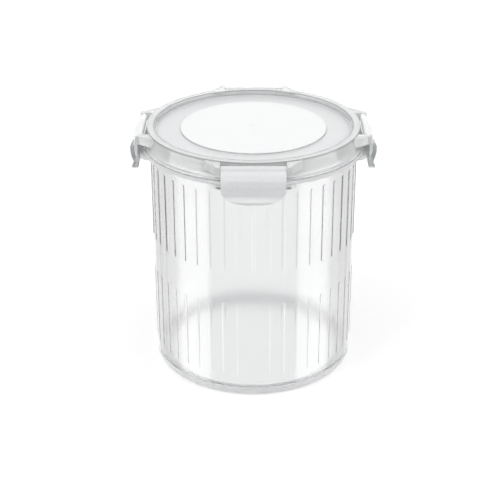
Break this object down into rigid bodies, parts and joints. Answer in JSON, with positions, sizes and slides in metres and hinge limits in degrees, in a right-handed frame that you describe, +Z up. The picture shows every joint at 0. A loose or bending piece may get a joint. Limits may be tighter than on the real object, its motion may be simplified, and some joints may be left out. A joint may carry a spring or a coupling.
{
  "type": "clip lock storage canister",
  "caption": "Clear round storage canister with a fluted jar, a gasketed lid and hinged side clips that hook under the jar's flange.",
  "frame": {"origin": "centre of the jar's base, on the surface that it stands on", "axes": "+Z up along the jar's axis, the front clip faces -Y and the right clip faces +X"},
  "size_m": [0.1228, 0.1228, 0.13],
  "materials": {
    "clear_jar": "crystal clear, glossy",
    "clear_lid": "clear, glossy",
    "soft_gasket": "translucent white silicone, satin",
    "milky_clip": "milky translucent, satin"
  },
  "bodies": {
    "jar_body": {"jar": "clear_jar"},
    "lid_body": {"lid": "clear_lid", "gasket": "soft_gasket"},
    "clip_front_body": {"clip_front": "milky_clip"},
    "clip_right_body": {"clip_right": "milky_clip"},
    "clip_back_body": {"clip_back": "milky_clip"},
    "clip_left_body": {"clip_left": "milky_clip"}
  },
  "joints": [
    {"name": "lid_lift", "type": "slide", "parent": "jar_body", "child": "lid_body", "axis": [0, 0, 1], "range_m": [0, 0.06]},
    {"name": "clip_front_hinge", "type": "hinge", "parent": "lid_body", "child": "clip_front_body", "pos_m": [0, -0.0565, 0.1276], "axis": [-1, 0, 0], "range_deg": [-6, 110]},
    {"name": "clip_right_hinge", "type": "hinge", "parent": "lid_body", "child": "clip_right_body", "pos_m": [0.0565, 0, 0.1276], "axis": [0, -1, 0], "range_deg": [-6, 110]},
    {"name": "clip_back_hinge", "type": "hinge", "parent": "lid_body", "child": "clip_back_body", "pos_m": [0, 0.0565, 0.1276], "axis": [1, 0, 0], "range_deg": [-6, 110]},
    {"name": "clip_left_hinge", "type": "hinge", "parent": "lid_body", "child": "clip_left_body", "pos_m": [-0.0565, 0, 0.1276], "axis": [0, 1, 0], "range_deg": [-6, 110]}
  ]
}
